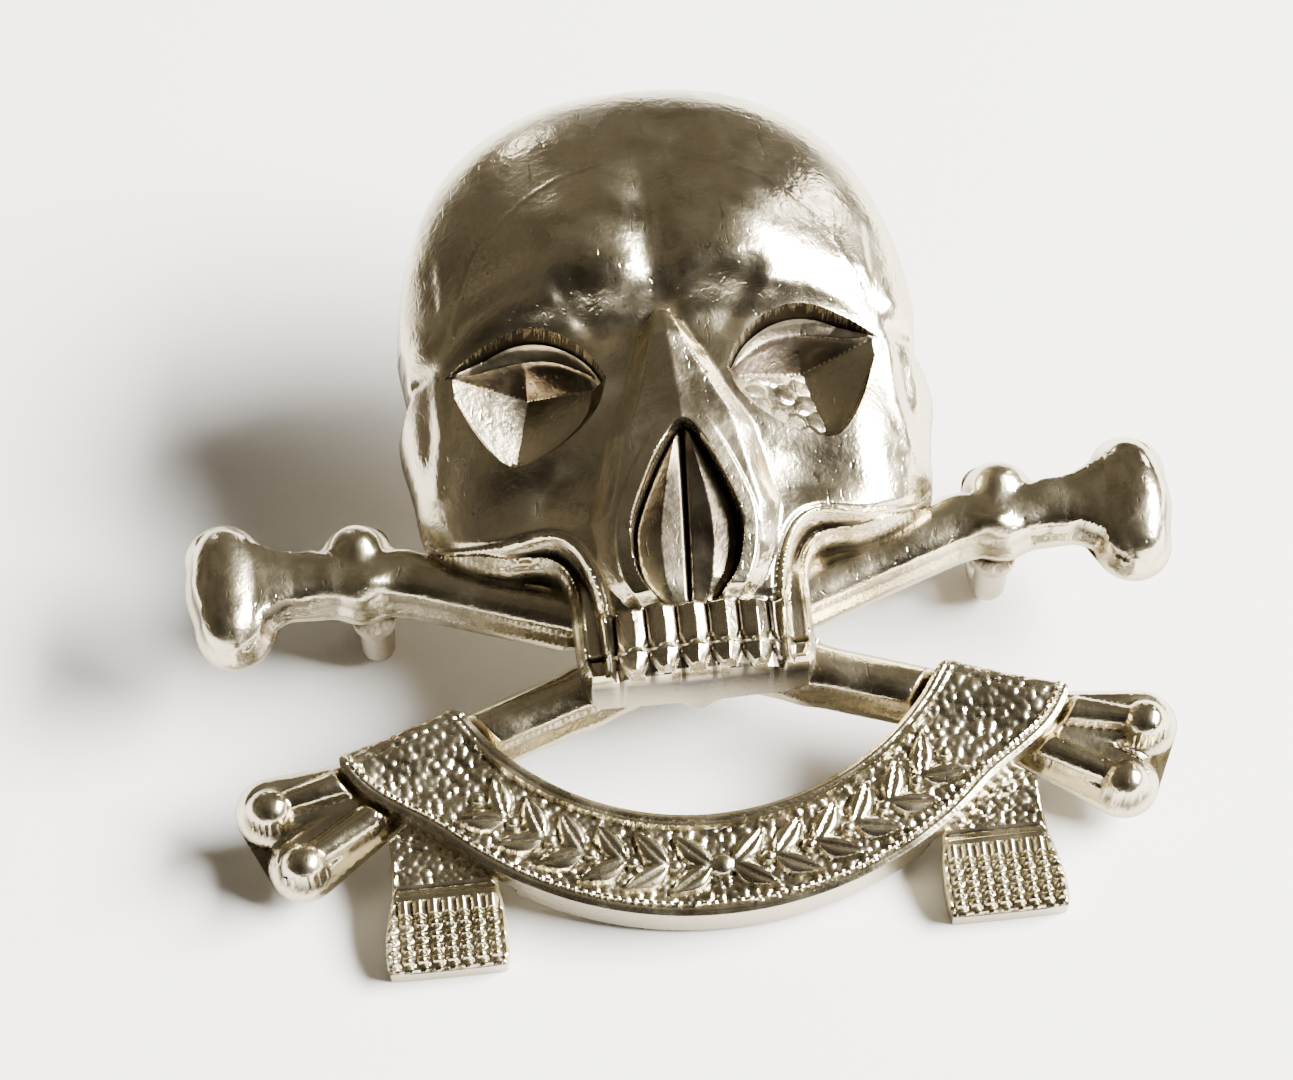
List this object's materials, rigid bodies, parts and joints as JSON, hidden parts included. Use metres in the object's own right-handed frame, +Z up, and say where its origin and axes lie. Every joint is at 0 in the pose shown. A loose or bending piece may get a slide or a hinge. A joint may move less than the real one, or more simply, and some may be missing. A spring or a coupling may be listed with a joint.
{
  "type": "cap badge",
  "caption": "Die-struck white metal cap badge: a hollow-backed skull over crossed bones, a curved scroll with fringed tails below, and wire loop lugs behind.",
  "frame": {"origin": "middle of the badge's footprint on the table it lies on, face up, on the lower edges of its tails and the ends of its lugs", "axes": "+Z up from the table; +X across the badge, to the viewer's right as the face looks up; +Y towards the crown of the skull, which the lugs prop up by 16.4 degrees"},
  "size_m": [0.0496, 0.0452, 0.0182],
  "materials": {
    "plated_metal": "satin-bright plated white metal with a warm tint",
    "lug_wire": "dull plated wire",
    "braze": "rough braze metal"
  },
  "bodies": {
    "root": {"skull_shell": "plated_metal", "crossbone_over": "plated_metal", "crossbone_under": "plated_metal", "scroll_band": "plated_metal", "scroll_tail_left": "plated_metal", "scroll_tail_right": "plated_metal", "lug_left": "lug_wire", "lug_right": "lug_wire", "lug_pad_left": "braze", "lug_pad_right": "braze"}
  },
  "joints": []
}
